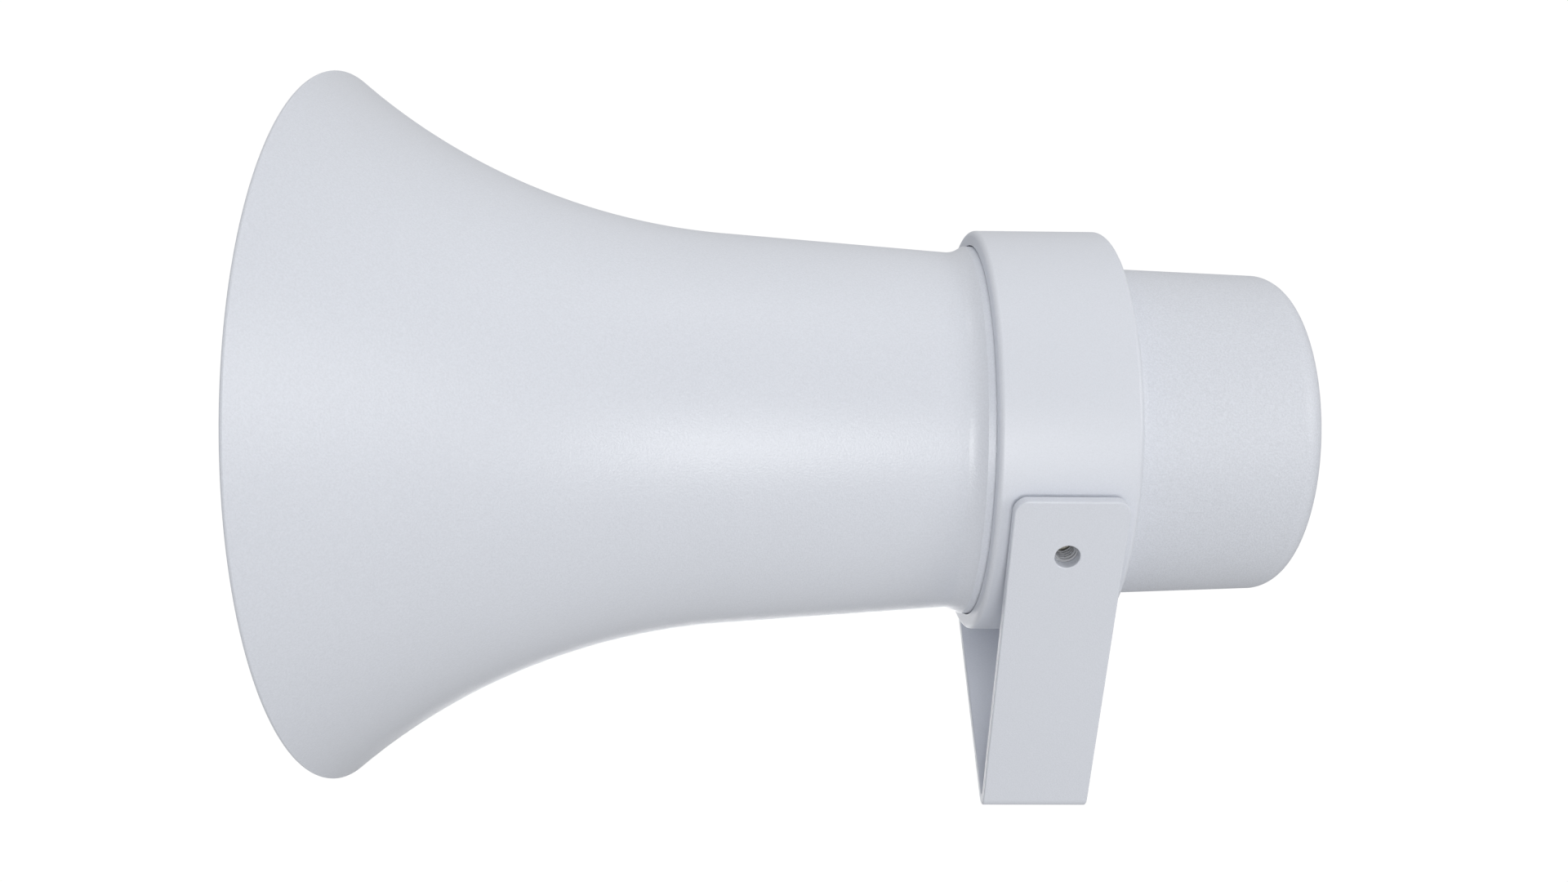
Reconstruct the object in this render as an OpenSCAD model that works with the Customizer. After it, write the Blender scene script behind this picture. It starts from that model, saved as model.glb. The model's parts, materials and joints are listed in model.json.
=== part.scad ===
// Horn loudspeaker in a mounting ring with a V-shaped stirrup strap.
// Millimetres. X runs along the horn axis, from the mouth towards the rear cover. Z is up.
// The origin is the middle of the mouth, so the mouth's rim lies in the plane X = 0.

/* [Horn bell] */
// Diameter of the horn's mouth
mouth_d = 200; // [190:1:210]
// Distance from the mouth plane to the middle of the ring
mouth_to_ring = 195.5; // [192:0.5:200]
// Radius of the curve that flares the bell
flare_r = 183; // [178:1:188]
// Bell radius where the flare runs out into the straight neck
flare_end_r = 56.7; // [56:0.1:57.2]
// Draft angle of the straight neck
neck_draft = 4.3; // [4:0.1:4.5]
// Wall thickness of the bell
bell_wall = 3; // [2.4:0.1:3.2]
// Rounding of the mouth's lip
lip_r = 1.1; // [0.8:0.1:1.3]
// Number of steps that make up the flare
flare_steps = 28; // [16:1:40]

/* [Horn rear end] */
// Radius of the flange in front of the ring
flange_r = 53.6; // [53.2:0.1:53.7]
// Length along the axis of the fillet that leads from the neck to the flange
flange_fillet_x = 4.8; // [4.4:0.1:5.2]
// Length of the flange behind that fillet
flange_len = 5; // [4.7:0.1:5.2]
// Radius of the spigot that turns inside the ring
spigot_r = 51.6; // [51.4:0.05:51.62]
// Bore radius of the spigot
spigot_bore_r = 48.6; // [48:0.1:48.8]
// Length of the spigot behind the middle of the ring
spigot_len = 15; // [14.9:0.05:15]
// Thickness of the bulkhead behind the neck
bulkhead_t = 6; // [5.5:0.1:6.5]
// Radius of the hole in the bulkhead that takes the throat tube
throat_seat_r = 13; // [12.5:0.1:13.5]

/* [Throat tube and reflector] */
// Bore radius of the throat tube at the driver
throat_r = 9; // [8.5:0.1:9.5]
// Bore radius of the throat tube at its open front
throat_exit_r = 19; // [18:0.5:19.5]
// Wall thickness of the throat tube
throat_wall = 2.2; // [2:0.1:2.5]
// Length of the throat tube in front of the bulkhead
throat_len = 86; // [80:1:88]
// Radius of the collar at the root of the throat tube
throat_collar_r = 22; // [20:0.5:24]
// Outer radius of the reflector cup
cup_r = 34; // [33:0.5:35]
// Wall thickness of the reflector cup
cup_wall = 2.5; // [2.2:0.1:3]
// Distance from the bulkhead to the rear edge of the cup
cup_gap = 15; // [14:0.5:18]
// Length of the straight part of the cup
cup_len = 80; // [76:1:82]
// Height of the cup's domed nose
cup_nose = 20; // [16:1:24]
// Number of posts that carry the cup
cup_posts = 3; // [3:1:5]
// Radius of each cup post
cup_post_r = 3; // [2.8:0.1:3.2]

/* [Ring and stirrup] */
// Width of the mounting ring along the axis
ring_w = 36.6; // [36:0.2:37.4]
// Outer radius of the mounting ring
ring_r = 58.1; // [57.6:0.1:58.4]
// Bore radius of the mounting ring
ring_bore_r = 54; // [53.9:0.05:54.2]
// Edge rounding of the ring
ring_edge = 1.5; // [1:0.1:1.8]
// Width of the stirrup strap
strap_w = 29.4; // [28:0.2:31]
// Thickness of the stirrup strap
strap_t = 3; // [2.8:0.1:3.2]
// Lean of each strap leg from the vertical
strap_lean = 34.2; // [33:0.1:36]
// Distance from the horn axis to the outer face of a strap leg
strap_face = 62.3; // [62:0.1:62.6]
// Length of a leg above its closest point to the ring
strap_above = 10.6; // [10:0.1:12]
// Outer radius of the bend that joins the two legs
bend_r = 4.2; // [3.9:0.1:5]
// Rounding of the upper corners of the strap
strap_corner_r = 3.8; // [3:0.1:4.2]
// Radius of the screw hole in each leg
leg_hole_r = 3.25; // [3.1:0.05:3.4]
// Distance of the screw hole below the leg's closest point to the ring
leg_hole_drop = 5.4; // [4.5:0.1:5.8]
// Outer radius of the threaded bush behind each leg
bush_r = 6; // [5.5:0.1:6.5]
// Radius of the M6 thread in the bush
bush_thread_r = 3; // [3:0.05:3.1]
// Gap between the bush and the friction liner
bush_gap = 0.3; // [0.2:0.05:0.4]
// Width of the pad between the ring and a leg
pad_w = 20; // [18:0.5:22]
// Length of the pad along the leg
pad_len = 19; // [18:0.5:20]

/* [Friction parts] */
// Running clearance between the spigot and the friction liner
run_gap = 0.08; // [0.06:0.01:0.1]
// Thickness of each thrust ring
thrust_t = 1; // [0.8:0.05:1]
// Axial play of each thrust ring
thrust_gap = 0.1; // [0.08:0.01:0.12]

/* [Rear cover] */
// Radius of the rear cover where it leaves the ring
cover_front_r = 47.6; // [47.2:0.1:48]
// Radius of the rear cover at its rear end
cover_rear_r = 46; // [45.5:0.1:46.4]
// Distance from the middle of the ring to the cover's rear face
cover_len = 70.6; // [69:0.1:72]
// Rounding of the cover's rear edge
cover_round = 7; // [6:0.5:8]
// Wall thickness of the cover
cover_wall = 2.8; // [2.6:0.1:3]
// Thickness of the cover's flange
cover_flange_t = 3.5; // [3.2:0.1:3.6]
// Rounding at the root of the cover's flange
cover_root_r = 3; // [2.4:0.1:3.2]
// Thickness of the gasket in front of the cover
cover_gasket_t = 1; // [0.95:0.05:1]
// Sideways place of the four cover screws
cover_screw_y = 25.5; // [25.3:0.1:25.8]
// Upward place of the four cover screws
cover_screw_z = 18.5; // [18.3:0.1:19]

/* [Driver] */
// Radius of the driver's front plate
driver_r = 44; // [43:0.5:45]
// Thickness of the driver's front plate
driver_t = 6; // [6:0.1:6.2]
// Height of the skirt that clamps the diaphragm
skirt_t = 4.5; // [4.5:0.1:4.6]
// Outer radius of the top plate
top_plate_r = 36; // [35:0.5:37]
// Thickness of the top plate
top_plate_t = 5; // [4.5:0.1:5.2]
// Outer radius of the magnet
magnet_r = 38; // [37:0.5:39]
// Bore radius of the magnet
magnet_bore_r = 24; // [22:0.5:25]
// Thickness of the magnet
magnet_t = 14; // [13.5:0.1:14]
// Outer radius of the yoke's plate
yoke_r = 39; // [38:0.5:40]
// Thickness of the yoke's plate
yoke_t = 5; // [5:0.1:5.2]
// Radius of the centre pole
pole_r = 17.2; // [17:0.05:17.3]
// Inner radius of the voice coil's former
coil_in_r = 17.65; // [17.6:0.01:17.7]
// Outer radius of the voice coil's winding
coil_out_r = 18.5; // [18.4:0.01:18.55]
// Bore radius of the top plate, around the voice coil
gap_r = 18.95; // [18.9:0.01:19]
// Height of the diaphragm's dome
dome_h = 3.5; // [3:0.1:3.6]
// Travel of the diaphragm each way
stroke = 0.4; // [0.3:0.05:0.5]

/* [Rear electrics] */
// Side length of the transformer core across the horn
core_y = 42; // [40:0.5:42]
// Height of the transformer core
core_z = 35; // [33:0.5:36]
// Stack thickness of the transformer core
core_x = 16; // [14:0.5:16]
// Distance of the tap switch above the horn axis
switch_z = 19; // [18.5:0.1:19.5]
// Radius of the recess around the tap knob
knob_pocket_r = 14; // [13.5:0.1:14]
// Depth of the recess around the tap knob
knob_pocket_x = 6; // [5.5:0.1:6]
// Radius of the tap knob
knob_r = 9; // [8:0.5:10]
// Distance of the cable gland below the horn axis
gland_drop = 19; // [18.5:0.1:19.5]
// Radius of the recess around the cable gland
gland_pocket_r = 13.5; // [13.2:0.1:14]
// Bore radius of the rubber seal, for the cable
cable_r = 3.5; // [3:0.1:3.8]

/* [Hidden] */
$fn = 96;

shell_white = [0.86, 0.88, 0.91];
steel = [0.72, 0.73, 0.75];
dark_steel = [0.4, 0.41, 0.43];
black_rubber = [0.12, 0.12, 0.13];
nylon = [0.9, 0.89, 0.84];
brass = [0.78, 0.64, 0.33];
copper = [0.72, 0.42, 0.22];
grey_plastic = [0.5, 0.52, 0.55];

// Fits. Tools that cut run past the faces they cut by over.
over = 1;
fit_gap = 0.05;
slip_gap = 0.1;
seat_gap = 0.3;

// Numbers of steps in arcs, and of faces on small round pieces.
lip_steps = 5;
edge_steps = 6;
corner_steps = 8;
bend_steps = 16;
dome_steps = 12;
nose_steps = 16;
throat_steps = 10;
rod_faces = 64;
wire_faces = 24;
hexagon = 6;

// Screws: the numbers are the thread sizes, 3 for M3 and 4 for M4.
screw3_r = 1.5;
screw3_hole = 1.55;
screw3_clear = 1.7;
screw3_head = 2.8;
screw3_head_h = 2.4;
screw3_sink = 3;
screw4_r = 2;
screw4_hole = 2.05;
screw4_clear = 2.2;
screw4_head = 3.5;

// Flare: an arc that starts at the lip and runs out tangent to the neck.
ring_x = mouth_to_ring;
mouth_r = mouth_d / 2;
flare_cr = flare_end_r + flare_r * cos(neck_draft);
flare_cx = lip_r + sqrt(pow(flare_r, 2) - pow(flare_cr - mouth_r, 2));
flare_end_x = flare_cx - flare_r * sin(neck_draft);
flare_start = 180 + acos((flare_cr - mouth_r) / flare_r);
flare_in_r = flare_r + bell_wall;
lip_in_r = flare_cr - sqrt(pow(flare_in_r, 2) - pow(flare_cx - lip_r, 2));
flare_in_start = 180 + acos((flare_cr - lip_in_r) / flare_in_r);

// Rear end of the horn, worked forward from the ring.
flange_inset = 3;
flange_back_x = ring_x - ring_w / 2 + flange_inset;
flange_front_x = flange_back_x - flange_len;
neck_end_x = flange_front_x - flange_fillet_x;
neck_end_r = flare_end_r - (neck_end_x - flare_end_x) * tan(neck_draft);
spigot_end_x = ring_x + spigot_len;
bulkhead_inset = 2.6;
bulkhead_x = neck_end_x + bulkhead_inset;
bulkhead_back_x = bulkhead_x + bulkhead_t;

// Reflector and throat.
cup_post_at = cup_r - cup_wall / 2;
cup_back_x = bulkhead_x - cup_gap;
collar_t = 3;

// Rear cover.
cover_x = spigot_end_x + cover_gasket_t;
cover_body_x = cover_x + cover_flange_t;
cover_end_x = ring_x + cover_len;
cover_seat_depth = 4.5;
cover_seat_x = cover_end_x - cover_seat_depth;
knob_floor_x = cover_end_x - knob_pocket_x;
gland_pocket_x = 6;
gland_floor_x = cover_end_x - gland_pocket_x;
pocket_wall = 2.5;
post_r = 3.5;
post_head_r = 5.2;
post_head_len = 4;

// Driver stack, from front to rear.
gasket_t = 1;
driver_x = bulkhead_back_x + gasket_t;
skirt_x = driver_x + driver_t;
surround_x = skirt_x + skirt_t;
surround_t = 0.5;
diaphragm_gasket_x = surround_x + surround_t;
top_plate_x = diaphragm_gasket_x + gasket_t;
magnet_x = top_plate_x + top_plate_t;
yoke_x = magnet_x + magnet_t;
yoke_back_x = yoke_x + yoke_t;
skirt_r = 33;
skirt_bore_r = 26;
motor_screw_r = 29.5;
mount_screw_r = 39;
vent_r = 3.5;

// Phase plug and diaphragm. The roll of the surround is a half circle.
plug_r = 15.5;
plug_step = 1.3;
plug_waist_r = 5.5;
plug_tip_r = 1.2;
plug_tip = 6.5;
plug_ring_r = 21;
plug_ring_in_r = 18.4;
plug_ring_t = 2;
web_t = 1.6;
former_t = 0.35;
former_r = coil_in_r + former_t;
former_reach = 4.2;
former_end_x = top_plate_x + former_reach;
coil_start = 0.6;
dome_t = 0.5;
dome_r = (pow(coil_in_r, 2) + pow(dome_h, 2)) / (2 * dome_h);
dome_x = surround_x - stroke / 2;
roll_at = 22;
roll_r = 2;
roll_gap = 0.15;

// Solder tabs and wires of the driver.
strip_y = 8;
strip_z = 35.5;
strip_h = 6;
tab_y = 1.5;
tab_z = strip_z + strip_h / 2;
tab_t = 0.8;
tab_len = 5.5;
tab_end_x = skirt_x + tab_len;
lead_y = 4;
lead_lift = 2.3;
lead_top_z = yoke_r + lead_lift;
wire_r = 0.8;
wire_bead = 0.12;

// Transformer and terminal block.
bracket_t = 1.5;
bracket_y = 28.5;
bracket_z = 8;
bracket_hook = 4;
coil_y = 27.6;
coil_z = 20.6;
coil_over = 6.5;
coil_gap = 0.5;
coil_x = yoke_back_x + bracket_t + coil_gap;
core_front_x = coil_x + coil_over;
core_back_x = core_front_x + core_x;
limb_y = 14;
window_y = 7;
window_z = 21;
block_x = 11;
block_y = 28;
block_low_z = 20;
block_h = 10;
block_mid_z = block_low_z + block_h / 2;
block_back_x = yoke_back_x + block_x;
well_r = 1.8;
well_x = 6;
terminal_r = 1.7;
terminal_len = 5;
slot_t = 0.6;

// Tap selector.
switch_r = 10;
switch_len = 8.5;
switch_x = knob_floor_x - pocket_wall - switch_len;
switch_base_t = 2;
switch_neck_r = 4.9;
switch_nut_r = 7.5;
switch_nut_t = 2;
shaft_r = 3;
shaft_len = 4.5;
knob_lift = 2.6;
knob_x = knob_floor_x + knob_lift;
knob_t = 5;
knob_rib_h = 1.8;
knob_rib_y = 1.4;
flutes = 12;
flute_r = 1.1;
tap_lead_z = 15;

// Cable gland.
gland_tube_r = 8;
gland_tube_len = 8.5;
gland_hex_r = 11.5;
gland_hex_t = 4;
gland_hex_x = gland_floor_x + gland_hex_t;
gland_thread_r = 8.6;
gland_thread_len = 5.4;
gland_top_x = gland_hex_x + gland_thread_len;
gland_nut_r = 11.2;
gland_nut_t = 6;
gland_nut_x = gland_hex_x + gland_nut_t;
gland_dome_t = 5.4;
gland_end_x = gland_nut_x + gland_dome_t;
gland_shoulder_r = 7.4;
gland_mouth_r = 5.6;
locknut_t = 3.5;
seal_r = 5.9;
seal_inset = 1.6;
seal_x = gland_hex_x - seal_inset;
seal_stand = 2;
seal_end_x = gland_top_x + seal_stand;

// Strap. Each leg is measured from its closest point to the horn axis.
strap_back = strap_face - strap_t;
bend_arm = strap_face - bend_r;
bend_s = -bend_arm / tan(strap_lean);
bend_z = -bend_arm / sin(strap_lean);
bush_depth = 5;

// Friction parts, packed between the horn's flange and the cover's flange.
front_thrust_x = flange_back_x + thrust_gap;
rear_thrust_x = cover_x - thrust_gap - thrust_t;
liner_front_x = front_thrust_x + thrust_t + thrust_gap;
liner_back_x = rear_thrust_x - thrust_gap;
liner_bore_r = spigot_r + run_gap;

// ---------- helpers ----------

// Points of an arc in the profile plane, as [radius, axial place].
function arc(cr, cx, r, a0, a1, n) =
    [for (i = [0:n]) let(a = a0 + (a1 - a0) * i / n) [cr + r * cos(a), cx + r * sin(a)]];

// A list of points without its first point, and without its last.
function after_first(points) = [for (i = [1:len(points) - 1]) points[i]];
function before_last(points) = [for (i = [0:len(points) - 2]) points[i]];

// Turns the Z axis of its children onto the horn axis.
module along_x(x = 0, y = 0, z = 0) {
    translate([x, y, z])
        rotate([0, 90, 0])
            children();
}

// A solid turned about the horn axis from points [radius, axial place].
module turned(points) {
    along_x()
        rotate_extrude()
            polygon(points);
}

// A plain ring about the horn axis.
module ring(x0, x1, r_out, r_in) {
    turned([[r_in, x0], [r_out, x0], [r_out, x1], [r_in, x1]]);
}

// A rod along X at a place across the horn axis.
module rod(x0, x1, r, y = 0, z = 0, faces = rod_faces) {
    along_x(x0, y, z)
        cylinder(h = x1 - x0, r = r, $fn = faces);
}

// A block between two corners.
module block(low, high) {
    translate(low)
        cube(high - low);
}

// Repeats its children evenly about the horn axis at a radius, starting at an angle from the top.
module around(count, radius, start = 0) {
    for (i = [0:count - 1])
        rotate([start + i * 360 / count, 0, 0])
            translate([0, 0, radius])
                children();
}

// Places of the screws and posts.
module at_cup_posts() {
    around(cup_posts, cup_post_at)
        children();
}

module at_mount_screws() {
    around(3, mount_screw_r, start = 60)
        children();
}

module at_motor_screws() {
    around(4, motor_screw_r, start = 45)
        children();
}

module at_cover_screws() {
    for (sy = [-1, 1])
        for (sz = [-1, 1])
            translate([0, sy * cover_screw_y, sz * cover_screw_z])
                children();
}

module at_bracket_screws() {
    for (side = [-1, 1])
        translate([0, side * bracket_y, 0])
            children();
}

module at_terminals() {
    for (i = [-1.5:1:1.5])
        translate([0, block_y * i / 4, block_mid_z])
            children();
}

// Repeats its children on both strap legs. In a leg's frame X runs along the horn axis,
// Y up the leg and Z out of its outer face, from the leg's closest point on the horn axis.
module on_legs() {
    translate([ring_x, 0, 0])
        for (far = [0, 1])
            mirror([0, far, 0])
                rotate([90 + strap_lean, 0, 0])
                    children();
}

// A cap screw with a hex socket, seated at x, its head towards +X when dir is 1.
module cap_screw(x, len, r, head_r, head_h, dir = 1) {
    translate([x, 0, 0])
        rotate([0, 90 * dir, 0]) {
            translate([0, 0, -len])
                cylinder(h = len + head_h / 4, r = r, $fn = rod_faces);
            difference() {
                cylinder(h = head_h, r = head_r, $fn = rod_faces);
                translate([0, 0, head_h / 2])
                    cylinder(h = head_h, r = head_r / 2, $fn = hexagon);
            }
        }
}

// A straight piece of wire between two points.
module wire_piece(a, b) {
    run = b - a;
    length = norm(run);
    translate(a)
        rotate([0, acos(run[2] / length), atan2(run[1], run[0])])
            cylinder(h = length, r = wire_r, $fn = wire_faces);
}

// An insulated wire through a list of points in one upright plane, with a bead at each bend.
module wire(points) {
    for (i = [0:len(points) - 2])
        wire_piece(points[i], points[i + 1]);
    for (i = [1:len(points) - 2])
        translate(points[i])
            sphere(r = wire_r + wire_bead, $fn = wire_faces);
}

// ---------- ring and stirrup ----------

// Outline of one leg, with its upper corners rounded.
function leg_outline() =
    let(side = strap_w / 2, r = strap_corner_r, top = strap_above - strap_corner_r)
    concat(
        [[-side, bend_s], [side, bend_s]],
        arc(side - r, top, r, 0, 90, corner_steps),
        arc(r - side, top, r, 90, 180, corner_steps)
    );

// Section of the bend that joins the two legs.
function bend_section() =
    concat(
        arc(0, bend_z, bend_r, 180 + strap_lean, 360 - strap_lean, bend_steps),
        arc(0, bend_z, bend_r - strap_t, 360 - strap_lean, 180 + strap_lean, bend_steps)
    );

// Strap bent into a V, with a screw hole near the top of each leg.
module stirrup_strap() {
    color(shell_white) {
        on_legs()
            difference() {
                translate([0, 0, strap_back])
                    linear_extrude(height = strap_t)
                        polygon(leg_outline());
                translate([0, -leg_hole_drop, strap_back - over])
                    cylinder(h = strap_t + 2 * over, r = leg_hole_r);
            }
        translate([ring_x - strap_w / 2, 0, 0])
            rotate([90, 0, 90])
                linear_extrude(height = strap_w)
                    polygon(bend_section());
    }
}

// Band that holds the horn, with rounded outer edges and a seat for each threaded bush.
module ring_band() {
    front = ring_x - ring_w / 2;
    back = ring_x + ring_w / 2;
    edge_r = ring_r - ring_edge;
    color(shell_white)
        difference() {
            turned(concat(
                [[ring_bore_r, front]],
                arc(edge_r, front + ring_edge, ring_edge, 270, 360, edge_steps),
                arc(edge_r, back - ring_edge, ring_edge, 0, 90, edge_steps),
                [[ring_bore_r, back]]
            ));
            on_legs()
                translate([0, -leg_hole_drop, ring_bore_r - bush_depth])
                    cylinder(h = 3 * bush_depth, r = bush_r);
        }
}

// Pads that fill the wedge between the ring and each leg.
module saddle_pads() {
    fine_faces = 360;
    color(dark_steel)
        difference() {
            on_legs()
                translate([-pad_w / 2, -leg_hole_drop - pad_len / 2, ring_bore_r])
                    cube([pad_w, pad_len, strap_back - ring_bore_r]);
            rod(ring_x - ring_w, ring_x + ring_w, ring_r, faces = fine_faces);
            on_legs()
                translate([0, -leg_hole_drop, ring_bore_r - over])
                    cylinder(h = 2 * bush_depth, r = bush_r);
        }
}

// Threaded bushes behind the leg holes. Bolts in them fasten the speaker and lock the horn.
module thread_bushes() {
    base = ring_bore_r + bush_gap;
    color(brass)
        on_legs()
            translate([0, -leg_hole_drop, 0])
                difference() {
                    translate([0, 0, base])
                        cylinder(h = strap_back - base, r = bush_r);
                    translate([0, 0, base - over])
                        cylinder(h = strap_back - base + 2 * over, r = bush_thread_r);
                }
}

// Nylon sleeve that the horn's spigot turns in.
module friction_liner() {
    color(nylon)
        ring(liner_front_x, liner_back_x, ring_bore_r, liner_bore_r);
}

// Washers that stop the horn sliding along the ring.
module thrust_rings() {
    color(nylon) {
        ring(front_thrust_x, front_thrust_x + thrust_t, ring_bore_r, liner_bore_r);
        ring(rear_thrust_x, rear_thrust_x + thrust_t, ring_bore_r, liner_bore_r);
    }
}

// ---------- horn ----------

// Radius of the inside of the neck at an axial place.
function neck_bore(x) =
    flare_end_r - bell_wall * cos(neck_draft)
    - (x - flare_end_x + bell_wall * sin(neck_draft)) * tan(neck_draft);

// Points of the fillet between the neck and the flange, an arc of a circle that starts along the neck.
function flange_fillet() =
    let(rise = flange_r - neck_end_r,
        radius = (pow(flange_fillet_x, 2) + pow(rise, 2)) / (2 * rise),
        sweep = asin(flange_fillet_x / radius))
    [for (i = [1:edge_steps]) let(a = sweep * i / edge_steps)
        [neck_end_r + radius * (1 - cos(a)), neck_end_x + radius * sin(a)]];

// Bell, neck, flange, spigot and bulkhead in one moulding.
module horn_bell() {
    color(shell_white)
        difference() {
            turned(concat(
                arc(lip_in_r + lip_r, lip_r, lip_r, 180, 270, lip_steps),
                arc(mouth_r - lip_r, lip_r, lip_r, 270, 360, lip_steps),
                after_first(arc(flare_cr, flare_cx, flare_r, flare_start, 180 + neck_draft, flare_steps)),
                [[neck_end_r, neck_end_x]],
                flange_fillet(),
                [
                    [flange_r, flange_back_x], [spigot_r, flange_back_x],
                    [spigot_r, spigot_end_x], [spigot_bore_r, spigot_end_x],
                    [spigot_bore_r, bulkhead_back_x], [throat_seat_r, bulkhead_back_x],
                    [throat_seat_r, bulkhead_x], [neck_bore(bulkhead_x), bulkhead_x]
                ],
                before_last(
                    arc(flare_cr, flare_cx, flare_in_r, 180 + neck_draft, flare_in_start, flare_steps)
                )
            ));
            at_cup_posts() {
                rod(bulkhead_x - over, bulkhead_back_x + over, screw3_clear);
                rod(bulkhead_back_x - screw3_sink, bulkhead_back_x + over, screw3_head + seat_gap);
            }
            at_mount_screws()
                rod(bulkhead_x + bulkhead_t / 4, bulkhead_back_x + over, screw4_hole);
        }
}

// Tube that carries the sound forward from the driver, widening towards its open end.
module throat_tube() {
    front_x = bulkhead_x - throat_len;
    bore = [for (i = [0:throat_steps])
        [throat_r * pow(throat_exit_r / throat_r, i / throat_steps),
         bulkhead_back_x + (front_x - bulkhead_back_x) * i / throat_steps]];
    root_r = bore[1][0] + throat_wall;
    color(shell_white)
        turned(concat(
            bore,
            [for (i = [throat_steps:-1:2]) bore[i] + [throat_wall, 0]],
            [
                [root_r, bulkhead_x - collar_t], [throat_collar_r, bulkhead_x - collar_t],
                [throat_collar_r, bulkhead_x], [throat_seat_r, bulkhead_x],
                [throat_seat_r, bulkhead_back_x]
            ]
        ));
}

// Points of one side of the cup's nose, from its rim to the axis.
function cup_nose_side(r, length) =
    [for (i = [0:nose_steps]) let(a = 90 * i / nose_steps)
        [r * cos(a), cup_back_x - cup_len - length * sin(a)]];

// Cup in the neck that folds the sound back towards the bulkhead.
module reflector_cup() {
    in_r = cup_r - cup_wall;
    inside = cup_nose_side(in_r, cup_nose - cup_wall);
    color(shell_white)
        difference() {
            union() {
                turned(concat(
                    [[in_r, cup_back_x], [cup_r, cup_back_x]],
                    cup_nose_side(cup_r, cup_nose),
                    [for (i = [nose_steps:-1:0]) inside[i]]
                ));
                at_cup_posts()
                    rod(cup_back_x - cup_gap, bulkhead_x, cup_post_r);
            }
            at_cup_posts()
                rod(cup_back_x, bulkhead_x + over, screw3_hole);
        }
}

// Screws through the bulkhead into the cup's posts.
module reflector_screws() {
    cup_screw_len = 14;
    seat_x = bulkhead_back_x - screw3_sink;
    color(steel)
        at_cup_posts()
            cap_screw(seat_x, cup_screw_len, screw3_r, screw3_head, screw3_head_h);
}

// ---------- driver ----------

// Gasket between the bulkhead and the driver.
module driver_gasket() {
    inset = 2.5;
    color(black_rubber)
        ring(bulkhead_back_x, driver_x, mount_screw_r - inset, throat_r + over);
}

// Front casting of the driver, with the skirt that clamps the diaphragm.
module driver_plate() {
    color(dark_steel)
        difference() {
            turned([
                [throat_r, driver_x], [driver_r, driver_x], [driver_r, skirt_x], [skirt_r, skirt_x],
                [skirt_r, surround_x], [skirt_bore_r, surround_x], [skirt_bore_r, skirt_x],
                [plug_ring_r, skirt_x], [plug_ring_r, skirt_x - plug_ring_t],
                [plug_ring_in_r, skirt_x - plug_ring_t]
            ]);
            at_motor_screws() {
                rod(driver_x - over, surround_x + over, screw3_clear);
                rod(driver_x - over, driver_x + screw3_sink, screw3_head + seat_gap);
            }
            at_mount_screws()
                rod(driver_x - over, skirt_x + over, screw4_clear);
        }
}

// Screws that hold the driver to the bulkhead.
module driver_mount_screws() {
    bite = 3.5;
    head_h = 2.8;
    color(steel)
        at_mount_screws()
            cap_screw(skirt_x, driver_t + gasket_t + bite, screw4_r, screw4_head, head_h);
}

// Plug in front of the dome that evens out the sound paths, on three webs in a ring.
module phase_plug() {
    ring_front_x = skirt_x - plug_ring_t;
    color(grey_plastic) {
        turned([
            [0, skirt_x - seat_gap], [plug_r, skirt_x + plug_step], [plug_r, skirt_x + seat_gap],
            [plug_r - plug_step, ring_front_x], [plug_waist_r, driver_x], [plug_tip_r, driver_x - plug_tip],
            [0, driver_x - plug_tip]
        ]);
        ring(ring_front_x, skirt_x, plug_ring_r - fit_gap, plug_ring_in_r);
        around(3, 0)
            block(
                [ring_front_x, -web_t / 2, plug_r - 2 * plug_step],
                [skirt_x - seat_gap, web_t / 2, plug_ring_in_r + web_t / 2]
            );
    }
}

// Front surface of the dome at a radius.
function dome_front(r) = dome_x - sqrt(pow(dome_r, 2) - pow(r, 2)) + dome_r - dome_h;

// Points of the dome from the axis to its rim, set back by a thickness.
function dome_side(r, back) =
    [for (i = [0:dome_steps]) [r * i / dome_steps, dome_front(r * i / dome_steps) + back]];

// Dome and the former tube that carries the voice coil. It moves along the horn axis.
module diaphragm_dome() {
    inside = dome_side(coil_in_r, dome_t);
    color(nylon)
        turned(concat(
            dome_side(former_r, 0),
            [[former_r, former_end_x], [coil_in_r, former_end_x]],
            [for (i = [dome_steps:-1:0]) inside[i]]
        ));
}

// Winding on the former, in the magnetic gap.
module voice_coil() {
    color(copper)
        ring(top_plate_x + coil_start, former_end_x, coil_out_r, former_r);
}

// Flexible roll around the dome, clamped at its rim.
module diaphragm_surround() {
    in_r = former_r + roll_gap;
    back_x = surround_x + surround_t;
    color(black_rubber)
        difference() {
            turned(concat(
                [[in_r, back_x], [in_r, surround_x]],
                [for (i = [0:corner_steps]) let(a = 180 * i / corner_steps)
                    [roll_at - roll_r * cos(a), surround_x - roll_r * sin(a)]],
                [[skirt_r, surround_x], [skirt_r, back_x]],
                [for (i = [corner_steps:-1:0]) let(a = 180 * i / corner_steps)
                    [roll_at - (roll_r - surround_t) * cos(a), back_x - (roll_r - surround_t / 2) * sin(a)]]
            ));
            at_motor_screws()
                rod(surround_x - over, back_x + over, screw3_clear);
        }
}

// Gasket between the surround and the top plate.
module diaphragm_gasket() {
    color(grey_plastic)
        difference() {
            ring(diaphragm_gasket_x, top_plate_x, skirt_r, skirt_bore_r);
            at_motor_screws()
                rod(diaphragm_gasket_x - over, top_plate_x + over, screw3_clear);
        }
}

// Front pole plate of the magnet system.
module top_plate() {
    color(steel)
        difference() {
            ring(top_plate_x, magnet_x, top_plate_r, gap_r);
            at_motor_screws()
                rod(top_plate_x - over, magnet_x - over, screw3_hole);
        }
}

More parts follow.
